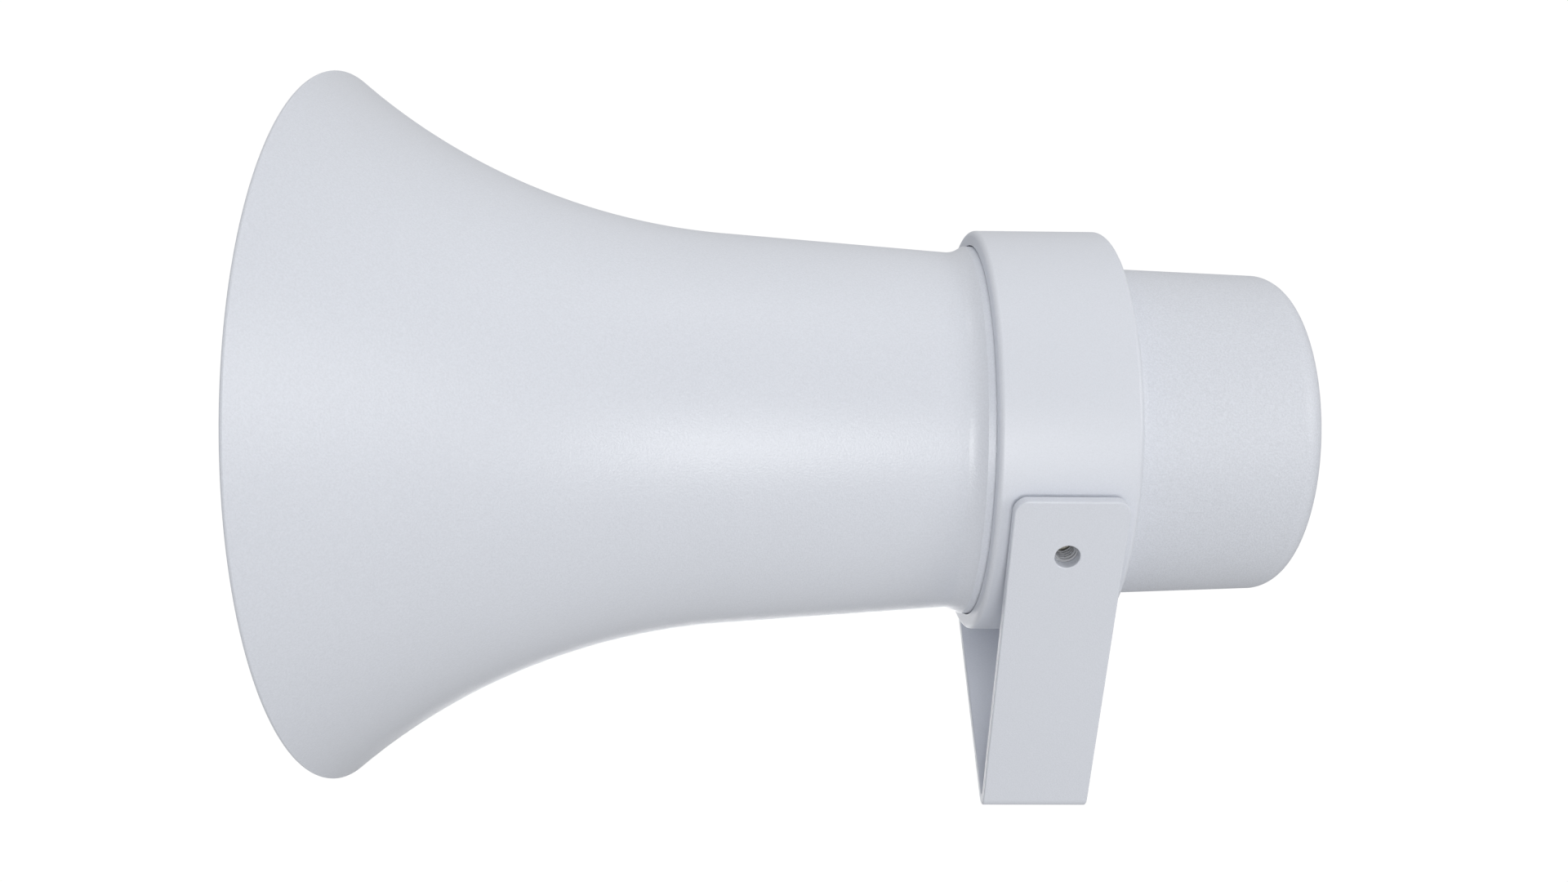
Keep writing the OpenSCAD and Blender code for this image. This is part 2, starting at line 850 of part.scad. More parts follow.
// Screws that clamp the front plate, surround and gasket to the top plate.
module motor_screws() {
    seat_x = driver_x + screw3_sink;
    tip_x = magnet_x - over - 2 * slip_gap;
    color(steel)
        at_motor_screws()
            cap_screw(seat_x, tip_x - seat_x, screw3_r, screw3_head, screw3_head_h, dir = -1);
}

// Ring magnet.
module magnet() {
    color(dark_steel)
        ring(magnet_x, yoke_x, magnet_r, magnet_bore_r);
}

// Back plate and centre pole in one piece, with a vent along the pole.
module yoke() {
    color(steel)
        difference() {
            turned([
                [vent_r, top_plate_x], [pole_r, top_plate_x], [pole_r, yoke_x],
                [yoke_r, yoke_x], [yoke_r, yoke_back_x], [vent_r, yoke_back_x]
            ]);
            at_cover_screws()
                rod(yoke_x - over, yoke_back_x + over, screw4_hole);
            at_bracket_screws()
                rod(yoke_x + over / 2, yoke_back_x + over, screw4_hole);
        }
}

// Strip with two solder tabs for the voice coil's leads.
module driver_terminals() {
    strip_t = 1.5;
    color(brass) {
        block([skirt_x, -strip_y, strip_z], [skirt_x + strip_t, strip_y, strip_z + strip_h]);
        for (side = [-1, 1])
            block(
                [skirt_x + strip_t / 2, side * lead_y - tab_y, tab_z],
                [tab_end_x, side * lead_y + tab_y, tab_z + tab_t]
            );
    }
}

// Leads from the solder tabs to the terminal block.
module driver_leads() {
    start_z = tab_z + tab_t / 2;
    drop_x = yoke_back_x + block_x / 2;
    rise = lead_top_z - start_z;
    rise_x = tab_end_x + 2;
    color(copper)
        for (side = [-1, 1])
            wire([
                [tab_end_x, side * lead_y, start_z], [rise_x, side * lead_y, start_z],
                [rise_x + rise, side * lead_y, lead_top_z], [drop_x, side * lead_y, lead_top_z],
                [drop_x, side * lead_y, block_low_z + block_h]
            ]);
}

// ---------- rear cover ----------

// Cover over the driver, with posts for its screws and recesses for the knob and the gland.
module rear_cover() {
    in_front_r = cover_front_r - cover_wall;
    in_round = cover_round - cover_wall;
    corner_r = cover_rear_r - cover_round;
    corner_x = cover_end_x - cover_round;
    root_r = cover_front_r + cover_root_r;
    post_end_x = cover_end_x - over;
    color(shell_white)
        difference() {
            union() {
                turned(concat(
                    [[in_front_r, cover_x], [flange_r, cover_x], [flange_r, cover_body_x]],
                    arc(root_r, cover_body_x + cover_root_r, cover_root_r, 270, 180, edge_steps),
                    arc(corner_r, corner_x, cover_round, 0, 90, dome_steps),
                    [[0, cover_end_x], [0, cover_end_x - cover_wall]],
                    arc(corner_r, corner_x, in_round, 90, 0, dome_steps)
                ));
                rod(knob_floor_x - pocket_wall, post_end_x, knob_pocket_r + pocket_wall, z = switch_z);
                rod(gland_floor_x - pocket_wall, post_end_x, gland_pocket_r + pocket_wall, z = -gland_drop);
                at_cover_screws() {
                    rod(yoke_back_x + seat_gap, post_end_x, post_r);
                    rod(cover_seat_x - post_head_len, post_end_x, post_head_r);
                }
            }
            rod(knob_floor_x, cover_end_x + over, knob_pocket_r, z = switch_z);
            rod(gland_floor_x, cover_end_x + over, gland_pocket_r, z = -gland_drop);
            rod(knob_floor_x - pocket_wall - over, cover_end_x, switch_neck_r + slip_gap, z = switch_z);
            rod(gland_floor_x - pocket_wall - over, cover_end_x, gland_tube_r + slip_gap, z = -gland_drop);
            at_cover_screws() {
                rod(yoke_back_x, cover_end_x, screw4_clear);
                rod(cover_seat_x, cover_end_x + over, screw4_head + seat_gap);
            }
        }
}

// Gasket between the spigot and the cover.
module cover_gasket() {
    color(black_rubber)
        ring(spigot_end_x, cover_x, spigot_r - slip_gap, spigot_bore_r + 2 * slip_gap);
}

// Long screws through the cover into the yoke.
module cover_screws() {
    head_h = 3.8;
    tip_x = yoke_x + over / 2;
    color(steel)
        at_cover_screws()
            cap_screw(cover_seat_x, cover_seat_x - tip_x, screw4_r, screw4_head, head_h);
}

// ---------- transformer and terminals ----------

// Laminated core of the line transformer.
module transformer_core() {
    window_at = (limb_y + window_y) / 2;
    color(dark_steel)
        difference() {
            block([core_front_x, -core_y / 2, -core_z / 2], [core_back_x, core_y / 2, core_z / 2]);
            for (side = [-1, 1])
                translate([0, side * window_at, 0])
                    block(
                        [core_front_x - over, -window_y / 2, -window_z / 2],
                        [core_back_x + over, window_y / 2, window_z / 2]
                    );
        }
}

// Winding around the core's middle limb.
module transformer_coil() {
    half_limb = limb_y / 2 + slip_gap;
    color(copper)
        difference() {
            block([coil_x, -coil_y / 2, -coil_z / 2], [core_back_x + coil_over, coil_y / 2, coil_z / 2]);
            block(
                [core_front_x - slip_gap, -half_limb, -coil_z],
                [core_back_x + slip_gap, half_limb, coil_z]
            );
        }
}

// Strap that clamps the transformer to the yoke.
module transformer_bracket() {
    leg_in = core_y / 2 + slip_gap;
    leg_out = leg_in + bracket_t;
    hook_x = core_back_x + slip_gap;
    plate_y = bracket_y + screw4_head + coil_gap;
    color(steel)
        difference() {
            for (far = [0, 1])
                mirror([0, far, 0]) {
                    block([yoke_back_x, 0, -bracket_z], [yoke_back_x + bracket_t, plate_y, bracket_z]);
                    block([yoke_back_x, leg_in, -bracket_z], [hook_x + bracket_t, leg_out, bracket_z]);
                    block(
                        [hook_x, leg_in - bracket_hook, -bracket_z],
                        [hook_x + bracket_t, leg_out, bracket_z]
                    );
                }
            at_bracket_screws()
                rod(yoke_back_x - over, yoke_back_x + bracket_t + over, screw4_clear);
        }
}

// Screws that hold the bracket to the yoke.
module bracket_screws() {
    head_h = 2.4;
    seat_x = yoke_back_x + bracket_t;
    color(steel)
        at_bracket_screws()
            cap_screw(seat_x, seat_x - yoke_x - over, screw4_r, screw4_head, head_h);
}

// Block where the leads meet, with four screw wells.
module terminal_block() {
    color(grey_plastic)
        difference() {
            block(
                [yoke_back_x, -block_y / 2, block_low_z],
                [block_back_x, block_y / 2, block_low_z + block_h]
            );
            at_terminals()
                rod(block_back_x - well_x, block_back_x + over, well_r);
        }
}

// Clamp screws in the terminal block.
module terminal_screws() {
    end_x = block_back_x - over;
    color(brass)
        at_terminals()
            difference() {
                rod(end_x - terminal_len, end_x, terminal_r);
                block(
                    [end_x - slot_t, -slot_t / 2, -2 * terminal_r],
                    [end_x + over, slot_t / 2, 2 * terminal_r]
                );
            }
}

// Leads from the terminal block and the transformer to the tap switch.
module supply_leads() {
    block_lead_y = block_y / 4;
    block_lead_z = block_mid_z - over;
    coil_lead_y = 3;
    rise = 3.5;
    rise_x = switch_x - rise;
    color(copper)
        for (side = [-1, 1]) {
            rod(block_back_x, switch_x, wire_r, y = side * block_lead_y, z = block_lead_z);
            wire([
                [rise_x, side * coil_lead_y, coil_z / 2], [rise_x, side * coil_lead_y, tap_lead_z],
                [switch_x, side * coil_lead_y, tap_lead_z]
            ]);
        }
}

// ---------- tap selector ----------

// Body of the rotary tap switch, with its threaded neck.
module tap_switch() {
    stand = 0.2;
    neck_end_x = knob_floor_x + switch_nut_t + stand;
    color(grey_plastic)
        difference() {
            union() {
                rod(switch_x, knob_floor_x - pocket_wall, switch_r, z = switch_z);
                rod(switch_x + over, neck_end_x, switch_neck_r, z = switch_z);
            }
            rod(switch_x + switch_base_t, cover_end_x, shaft_r + run_gap, z = switch_z);
        }
}

// Hexagon nut on the switch's neck.
module switch_nut() {
    nut_end_x = knob_floor_x + switch_nut_t;
    color(steel)
        difference() {
            rod(knob_floor_x, nut_end_x, switch_nut_r, z = switch_z, faces = hexagon);
            rod(knob_floor_x - over, nut_end_x + over, switch_neck_r + fit_gap, z = switch_z);
        }
}

// Shaft of the tap switch.
module tap_shaft() {
    color(steel)
        rod(switch_x + switch_base_t + 2 * slip_gap, knob_x + shaft_len, shaft_r, z = switch_z);
}

// Knob with a pointer rib and a fluted rim.
module tap_knob() {
    rib_end_x = knob_x + knob_t + knob_rib_h;
    rib_z = knob_r - 1;
    color(dark_steel)
        translate([0, 0, switch_z])
            difference() {
                union() {
                    rod(knob_x, knob_x + knob_t, knob_r);
                    block([knob_x + knob_t - over, -knob_rib_y, -rib_z], [rib_end_x, knob_rib_y, rib_z]);
                }
                rod(knob_x - over, knob_x + shaft_len, shaft_r);
                around(flutes, knob_r + flute_r / 2, start = 180 / flutes)
                    rod(knob_x - over, knob_x + knob_t + over, flute_r);
            }
}

// ---------- cable gland ----------

// Gland body: a tube through the cover, a hexagon and a thread for the dome nut.
module gland_body() {
    color(grey_plastic)
        translate([0, 0, -gland_drop])
            difference() {
                union() {
                    rod(gland_floor_x - gland_tube_len, gland_floor_x + over, gland_tube_r);
                    rod(gland_floor_x, gland_hex_x, gland_hex_r, faces = hexagon);
                    rod(gland_floor_x + over, gland_top_x, gland_thread_r);
                }
                rod(gland_floor_x - gland_tube_len - over, gland_top_x + over, cable_r + over);
                rod(seal_x, gland_top_x + over, seal_r + fit_gap);
            }
}

// Locknut inside the cover.
module gland_locknut() {
    end_x = gland_floor_x - pocket_wall;
    color(grey_plastic)
        translate([0, 0, -gland_drop])
            difference() {
                rod(end_x - locknut_t, end_x, gland_hex_r, faces = hexagon);
                rod(end_x - locknut_t - over, end_x + over, gland_tube_r + fit_gap);
            }
}

// Rubber seal that grips the cable.
module gland_seal() {
    color(black_rubber)
        translate([0, 0, -gland_drop])
            difference() {
                rod(seal_x, seal_end_x, seal_r);
                rod(seal_x - over, seal_end_x + over, cable_r);
            }
}

// Dome nut that squeezes the seal.
module gland_nut() {
    inset = 0.2;
    start_gap = 0.4;
    shoulder_t = 3;
    cable_gap = 0.8;
    body_r = gland_nut_r * cos(180 / hexagon) - inset;
    color(grey_plastic)
        translate([0, 0, -gland_drop])
            difference() {
                union() {
                    rod(gland_hex_x + start_gap, gland_nut_x, gland_nut_r, faces = hexagon);
                    turned([
                        [0, gland_hex_x + over], [body_r, gland_hex_x + over], [body_r, gland_nut_x],
                        [gland_shoulder_r, gland_nut_x + shoulder_t],
                        [gland_mouth_r, gland_end_x], [0, gland_end_x]
                    ]);
                }
                rod(gland_hex_x - over, gland_top_x + seat_gap, gland_thread_r + run_gap);
                rod(gland_hex_x - over, seal_end_x + seat_gap, seal_r + inset);
                rod(gland_hex_x - over, gland_end_x + over, cable_r + cable_gap);
            }
}

stirrup_strap();
ring_band();
saddle_pads();
thread_bushes();
friction_liner();
thrust_rings();
horn_bell();
throat_tube();
reflector_cup();
reflector_screws();
driver_gasket();
driver_plate();
driver_mount_screws();
phase_plug();
diaphragm_dome();
voice_coil();
diaphragm_surround();
diaphragm_gasket();
top_plate();
motor_screws();
magnet();
yoke();
driver_terminals();
driver_leads();
rear_cover();
cover_gasket();
cover_screws();
transformer_core();
transformer_coil();
transformer_bracket();
bracket_screws();
terminal_block();
terminal_screws();
supply_leads();
tap_switch();
switch_nut();
tap_shaft();
tap_knob();
gland_body();
gland_locknut();
gland_seal();
gland_nut();
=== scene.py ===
"""The looks of a horn loudspeaker on a V-shaped stirrup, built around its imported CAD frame.

Lengths are in metres. X runs along the horn axis, from the mouth at 0 to the rear cover, and Z is up.
"""

import json
import math

import bmesh
import bpy
from mathutils import Matrix, Vector


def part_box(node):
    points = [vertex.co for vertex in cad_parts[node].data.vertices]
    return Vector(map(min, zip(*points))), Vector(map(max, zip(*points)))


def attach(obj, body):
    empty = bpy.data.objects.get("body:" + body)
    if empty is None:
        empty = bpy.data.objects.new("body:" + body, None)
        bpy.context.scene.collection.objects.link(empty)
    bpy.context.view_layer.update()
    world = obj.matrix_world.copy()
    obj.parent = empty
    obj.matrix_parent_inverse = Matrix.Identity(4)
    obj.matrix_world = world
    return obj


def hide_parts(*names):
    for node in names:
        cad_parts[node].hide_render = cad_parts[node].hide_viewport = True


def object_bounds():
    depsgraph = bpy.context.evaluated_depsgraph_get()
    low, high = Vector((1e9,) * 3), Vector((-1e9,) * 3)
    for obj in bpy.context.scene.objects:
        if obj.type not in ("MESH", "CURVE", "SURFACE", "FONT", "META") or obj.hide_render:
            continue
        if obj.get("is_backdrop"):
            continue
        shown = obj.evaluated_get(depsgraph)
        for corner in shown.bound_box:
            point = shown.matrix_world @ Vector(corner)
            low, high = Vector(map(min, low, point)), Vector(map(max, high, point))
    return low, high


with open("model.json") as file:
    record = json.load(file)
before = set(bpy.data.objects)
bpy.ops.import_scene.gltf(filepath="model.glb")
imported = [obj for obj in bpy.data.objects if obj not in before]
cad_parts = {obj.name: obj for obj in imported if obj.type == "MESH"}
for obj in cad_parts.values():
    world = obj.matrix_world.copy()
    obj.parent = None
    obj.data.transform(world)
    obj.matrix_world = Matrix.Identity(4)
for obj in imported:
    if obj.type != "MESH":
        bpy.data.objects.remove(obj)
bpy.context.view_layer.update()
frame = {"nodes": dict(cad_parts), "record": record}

MM = 0.001
TURN_STEPS = 288
TOOL_STEPS = 96
ON_AXIS = 1e-7

# ---------- places and sizes taken from the frame ----------

bell_low, bell_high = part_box("horn_bell")
ring_low, ring_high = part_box("ring_band")
cover_low, cover_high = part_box("rear_cover")
cup_low, cup_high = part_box("reflector_cup")
knob_low, knob_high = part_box("tap_knob")
nut_low, nut_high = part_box("gland_nut")
screw_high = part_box("cover_screws")[1]
strap_low, strap_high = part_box("stirrup_strap")
gasket_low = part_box("driver_gasket")[0]

# ---------- mesh helpers ----------


def arc(centre_x, centre_r, radius, start, end, steps):
    """Profile points (x, r) on an arc. An angle of 0 points towards +X and 90 away from the axis."""
    points = []
    for i in range(steps + 1):
        angle = math.radians(start + (end - start) * i / steps)
        points.append((centre_x + radius * math.cos(angle), centre_r + radius * math.sin(angle)))
    return points


def straight(start, end, steps):
    """Profile points from start to end, without the two ends."""
    return [
        (start[0] + (end[0] - start[0]) * i / steps, start[1] + (end[1] - start[1]) * i / steps)
        for i in range(1, steps)
    ]


def turn(profile, steps=TURN_STEPS):
    """A closed mesh turned about the X axis from an outline of (x, r) points."""
    made = bmesh.new()
    rows = []
    for x, r in profile:
        if r < ON_AXIS:
            rows.append([made.verts.new((x, 0, 0))])
        else:
            rows.append([
                made.verts.new((
                    x, r * math.cos(2 * math.pi * i / steps), r * math.sin(2 * math.pi * i / steps)
                ))
                for i in range(steps)
            ])
    for a, b in zip(rows, rows[1:] + rows[:1]):
        if len(a) == 1 and len(b) == 1:
            continue
        for i in range(steps):
            j = (i + 1) % steps
            corners = [a[i % len(a)], a[j % len(a)], b[j % len(b)], b[i % len(b)]]
            made.faces.new(list(dict.fromkeys(corners)))
    bmesh.ops.recalc_face_normals(made, faces=made.faces)
    return made


def as_object(made, name):
    """A scene object made from a bmesh, which is freed."""
    mesh = bpy.data.meshes.new(name)
    made.to_mesh(mesh)
    made.free()
    piece = bpy.data.objects.new(name, mesh)
    bpy.context.scene.collection.objects.link(piece)
    return piece


def disc_tool(x0, x1, radius, y=0.0, z=0.0, steps=TOOL_STEPS):
    """A plain round tool along X, for cutting and joining."""
    tool = as_object(turn([(x0, 0), (x0, radius), (x1, radius), (x1, 0)], steps), "tool")
    tool.data.transform(Matrix.Translation((0, y, z)))
    return tool


def combine(piece, tools, operation):
    """Joins the tools to the piece, or cuts them from it, and removes them."""
    for tool in tools:
        step = piece.modifiers.new("combine", "BOOLEAN")
        step.operation = operation
        step.solver = "EXACT"
        step.object = tool
    bake(piece)
    for tool in tools:
        bpy.data.objects.remove(tool)


def bake(piece):
    """Puts the result of the piece's modifiers into its mesh."""
    graph = bpy.context.evaluated_depsgraph_get()
    graph.update()
    mesh = bpy.data.meshes.new_from_object(piece.evaluated_get(graph))
    piece.modifiers.clear()
    piece.data = mesh


def soften(piece, width, angle=40, segments=3):
    """Rounds the sharp edges of a piece by a small radius."""
    step = piece.modifiers.new("soften", "BEVEL")
    step.width = width
    step.segments = segments
    step.limit_method = "ANGLE"
    step.angle_limit = math.radians(angle)
    step.use_clamp_overlap = False
    step.miter_outer = "MITER_ARC"
    bake(piece)


def shade(piece, angle=32):
    """Smooth shading with sharp edges above an angle, and flat faces kept flat."""
    piece.data.shade_smooth()
    piece.data.set_sharp_from_angle(angle=math.radians(angle))
    step = piece.modifiers.new("flat faces", "WEIGHTED_NORMAL")
    step.keep_sharp = True
    step.weight = 90


WELD = 2e-6
FLAT_ANGLE = 0.4


def from_cad(node, name, width, angle=40):
    """A new piece with the shape of a CAD node, cleaned of its triangles and with softened edges."""
    source = frame["nodes"][node].data
    made = bmesh.new()
    corners = [made.verts.new(v.co) for v in source.vertices]
    for face in source.polygons:
        points = list(dict.fromkeys(corners[i] for i in face.vertices))
        if len(points) > 2 and made.faces.get(points) is None:
            made.faces.new(points)
    bmesh.ops.remove_doubles(made, verts=made.verts, dist=WELD)
    bmesh.ops.dissolve_degenerate(made, edges=made.edges, dist=WELD)
    bmesh.ops.dissolve_limit(
        made, angle_limit=math.radians(FLAT_ANGLE), use_dissolve_boundaries=False,
        verts=made.verts, edges=made.edges
    )
    bmesh.ops.recalc_face_normals(made, faces=made.faces)
    piece = as_object(made, name)
    soften(piece, width, angle)
    return piece


def place(piece, body, slot, *nodes, finish=None):
    """Fixes a finished piece to its body, in place of CAD nodes, with the finish of its slot or its own."""
    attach(piece, body)
    if nodes:
        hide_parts(*nodes)
    piece.data.materials.clear()
    piece.data.materials.append(finish or finishes[slot])
    return piece


# ---------- finishes ----------


class Graph:
    """Short calls for wiring up one node material."""

    def __init__(self, name):
        self.material = bpy.data.materials.new(name)
        self.material.use_nodes = True
        self.tree = self.material.node_tree
        self.shader = self.tree.nodes["Principled BSDF"]
        self.where = self.add("ShaderNodeTexCoord").outputs["Object"]
        self.bump = None

    def add(self, kind, **settings):
        node = self.tree.nodes.new(kind)
        for key, value in settings.items():
            setattr(node, key, value)
        return node

    def link(self, source, target):
        self.tree.links.new(source, target)

    def stretched(self, scale):
        """Object coordinates scaled by (x, y, z)."""
        node = self.add("ShaderNodeMapping")
        node.inputs["Scale"].default_value = scale
        self.link(self.where, node.inputs["Vector"])
        return node.outputs["Vector"]

    def noise(self, size, detail=2.0, rough=0.5, where=None):
        """Noise from 0 to 1 with patches of about the given size in metres."""
        node = self.add("ShaderNodeTexNoise")
        node.inputs["Scale"].default_value = 1 / size
        node.inputs["Detail"].default_value = detail
        node.inputs["Roughness"].default_value = rough
        self.link(where or self.where, node.inputs["Vector"])
        return node.outputs["Fac"]

    def bands(self, size, direction, where=None):
        """Soft bands of the given period in metres across an axis."""
        node = self.add("ShaderNodeTexWave", bands_direction=direction, wave_profile="SIN")
        node.inputs["Scale"].default_value = 1 / (size * 3.2)
        self.link(where or self.where, node.inputs["Vector"])
        return node.outputs["Fac"]

    def ramp(self, source, low, high, out_low, out_high):
        """Maps low..high to out_low..out_high, and holds it there."""
        node = self.add("ShaderNodeMapRange", clamp=True)
        for key, value in zip(("From Min", "From Max", "To Min", "To Max"), (low, high, out_low, out_high)):
            node.inputs[key].default_value = value
        self.link(source, node.inputs["Value"])
        return node.outputs["Result"]

    def mix(self, factor, first, second):
        """Mixes two colours, each a tuple or a socket, by a number or a socket."""
        node = self.add("ShaderNodeMix", data_type="RGBA")
        if isinstance(factor, float):
            node.inputs["Factor"].default_value = factor
        else:
            self.link(factor, node.inputs["Factor"])
        for value, socket in ((first, node.inputs[6]), (second, node.inputs[7])):
            if isinstance(value, tuple):
                socket.default_value = (*value, 1)
            else:
                self.link(value, socket)
        return node.outputs[2]

    def math(self, operation, first, second):
        """One arithmetic step on two values, each a number or a socket."""
        node = self.add("ShaderNodeMath", operation=operation)
        for value, socket in zip((first, second), node.inputs):
            if isinstance(value, (int, float)):
                socket.default_value = value
            else:
                self.link(value, socket)
        return node.outputs[0]

    def relief(self, height, depth, strength=1.0):
        """Adds a layer of bump, of the given depth in metres, on top of those before it."""
        node = self.add("ShaderNodeBump")
        node.inputs["Distance"].default_value = depth
        node.inputs["Strength"].default_value = strength
        self.link(height, node.inputs["Height"])
        if self.bump:
            self.link(self.bump, node.inputs["Normal"])
        self.bump = node.outputs["Normal"]

    def edges(self, radius):
        """A mask that is 1 on convex and concave edges and 0 on plain faces."""
        rounded = self.add("ShaderNodeBevel", samples=4)
        rounded.inputs["Radius"].default_value = radius
        plain = self.add("ShaderNodeNewGeometry")
        dot = self.add("ShaderNodeVectorMath", operation="DOT_PRODUCT")
        self.link(rounded.outputs["Normal"], dot.inputs[0])
        self.link(plain.outputs["Normal"], dot.inputs[1])
        return self.ramp(dot.outputs["Value"], 0.995, 0.8, 0.0, 1.0)

    def done(self, colour, roughness, metallic=0.0, coat=0.0, level=0.5):
        """Wires colour, roughness and bump into the shader and returns the material."""
        shader = self.shader
        self.link(colour, shader.inputs["Base Color"])
        self.link(roughness, shader.inputs["Roughness"])
        shader.inputs["Metallic"].default_value = metallic
        shader.inputs["Coat Weight"].default_value = coat
        shader.inputs["Specular IOR Level"].default_value = level
        if self.bump:
            self.link(self.bump, shader.inputs["Normal"])
        return self.material


def shaded(colour, share):
    """A colour made lighter or darker by a share."""
    return tuple(min(1.0, c * share) for c in colour)


COAT_LEVEL = 0.8


def coated(name, colour, roughness, grain, grain_depth, peel_depth, contrast):
    """A fine textured coat on metal or plastic: grain, faint orange peel, uneven tone, smoother edges and a
    painted highlight along every edge.
    """
    g = Graph(name)
    tone = g.noise(90 * MM, 3.0)
    speckle = g.noise(grain, 1.0, 0.6)
    peel = g.noise(2.6 * MM, 2.0)
    edge = g.edges(0.7 * MM)
    base = g.mix(g.ramp(tone, 0.35, 0.65, 0.0, 1.0), shaded(colour, 0.985), shaded(colour, 1.01))
    spread = g.ramp(speckle, 0.3, 0.7, 0.0, 1.0)
    dotted = g.mix(spread, shaded(colour, 1 - contrast), shaded(colour, 1 + contrast))
    both = g.mix(0.5, base, dotted)
    # Painted highlight: the colour is made 6% lighter along every edge, convex and concave; the lower
    # roughness there is the polish of wear.
    edge_toned = g.mix(g.math("MULTIPLY", edge, 0.35), both, shaded(colour, 1.06))
    dull = g.ramp(tone, 0.3, 0.7, roughness - 0.03, roughness + 0.04)
    rough = g.math("ADD", dull, g.ramp(edge, 0, 1, 0, -0.08))
    g.relief(peel, peel_depth)
    g.relief(speckle, grain_depth)
    return g.done(edge_toned, rough, level=COAT_LEVEL)


def moulded(name, colour, roughness, grain=0.5 * MM, depth=0.03 * MM, level=0.4):
    """Moulded plastic or rubber with a fine spark-eroded grain, flow marks and rubbed edges."""
    g = Graph(name)
    flow = g.noise(22 * MM, 4.0)
    skin = g.noise(grain, 2.0, 0.6)
    edge = g.edges(0.5 * MM)
    base = g.mix(g.ramp(flow, 0.3, 0.7, 0.0, 1.0), shaded(colour, 0.9), shaded(colour, 1.08))
    edge_toned = g.mix(g.math("MULTIPLY", edge, 0.5), base, tuple(c * 0.8 + 0.1 for c in colour))
    g.relief(skin, depth)
    return g.done(edge_toned, g.ramp(skin, 0.3, 0.7, roughness - 0.07, roughness + 0.07), level=level)


def bare_metal(name, colour, roughness, scratch=(1, 1, 1), depth=0.01 * MM, stain=(0.6, 0.58, 0.54)):
    """Bare or plated metal with fine scratches, dull patches and bright rubbed edges."""
    g = Graph(name)
    lines = g.noise(0.35 * MM, 3.0, 0.6, g.stretched(scratch))
    patch = g.noise(9 * MM, 5.0, 0.6)
    edge = g.edges(0.4 * MM)
    base = g.mix(g.ramp(lines, 0.3, 0.7, 0.0, 1.0), shaded(colour, 0.9), shaded(colour, 1.05))
    stained = g.mix(g.ramp(patch, 0.52, 0.75, 0.0, 0.35), base, stain)
    edge_toned = g.mix(g.math("MULTIPLY", edge, 0.6), stained, shaded(colour, 1.15))
    g.relief(lines, depth)
    return g.done(edge_toned, g.ramp(patch, 0.3, 0.75, roughness - 0.06, roughness + 0.14), metallic=1.0)


def wound(name, colour, roughness):
    """Turns of enamelled wire under varnish, seen as fine bands of painted highlight and painted shade."""
    g = Graph(name)
    turns = g.bands(0.45 * MM, "X")
    varnish = g.noise(6 * MM, 3.0)
    # Painted highlight and painted shade: each turn is painted lighter along its crest and darker between
    # turns.
    base = g.mix(turns, shaded(colour, 0.45), shaded(colour, 1.25))
    drips = g.mix(g.ramp(varnish, 0.45, 0.7, 0.0, 0.5), base, shaded(colour, 0.6))
    g.relief(turns, 0.12 * MM)
    return g.done(drips, g.ramp(varnish, 0.3, 0.7, roughness - 0.1, roughness + 0.1), coat=0.4)


WHITE = (0.745, 0.772, 0.835)
finishes = {
    "shell_white": coated("shell_white", WHITE, 0.38, 0.5 * MM, 0.07 * MM, 0.012 * MM, 0.06),
    "strap_white": coated("strap_white", shaded(WHITE, 0.985), 0.42, 0.42 * MM, 0.03 * MM, 0.010 * MM, 0.04),
    "moulding_white": moulded("moulding_white", WHITE, 0.52),
    "steel": bare_metal("steel", (0.62, 0.63, 0.65), 0.34, (1, 9, 9)),
    "magnet_black": moulded("magnet_black", (0.045, 0.045, 0.05), 0.62, 0.7 * MM, 0.06 * MM),
    "cast_alloy": bare_metal("cast_alloy", (0.55, 0.56, 0.58), 0.48, depth=0.05 * MM),
    "brass": bare_metal("brass", (0.74, 0.56, 0.26), 0.32, (6, 1, 6), stain=(0.38, 0.25, 0.12)),
    "winding": wound("winding", (0.46, 0.2, 0.07), 0.35),
    "lead_red": moulded("lead_red", (0.5, 0.03, 0.025), 0.34, 0.8 * MM, 0.01 * MM, 0.5),
    "rubber": moulded("rubber", (0.022, 0.022, 0.025), 0.7, 0.5 * MM, 0.04 * MM, 0.3),
    "nylon": moulded("nylon", (0.7, 0.68, 0.6), 0.42, 0.9 * MM, 0.01 * MM, 0.5),
    "grey_plastic": moulded("grey_plastic", (0.2, 0.21, 0.23), 0.5),
    "dark_plastic": moulded("dark_plastic", (0.03, 0.03, 0.034), 0.48, 0.45 * MM),
}

cover_finish = coated("cover_white", shaded(WHITE, 0.95), 0.42, 0.5 * MM, 0.11 * MM, 0.012 * MM, 0.10)
bush_finish = bare_metal("dull_steel", (0.66, 0.67, 0.69), 0.72, (1, 9, 9))

slot_of = {row["node"]: row["material_slot"] for row in frame["record"]["subparts"]}
for node, thing in frame["nodes"].items():
    for holder in thing.material_slots:
        holder.material = finishes[slot_of[node]]

# ---------- horn bell ----------

FLARE_RADIUS = 183 * MM
FLARE_END_R = 56.7 * MM
NECK_DRAFT = 4.3
BELL_WALL = 3 * MM
LIP = 1.1 * MM
FLANGE_R = 53.6 * MM
FLANGE_LENGTH = 5 * MM
FLANGE_TO_RING = 3 * MM
FLANGE_FILLET = 4.8 * MM
BULKHEAD = 6 * MM
SPIGOT_R = 51.6 * MM
SPIGOT_BORE_R = 48.6 * MM
THROAT_SEAT_R = 13 * MM
FINE_EDGE = 0.35 * MM


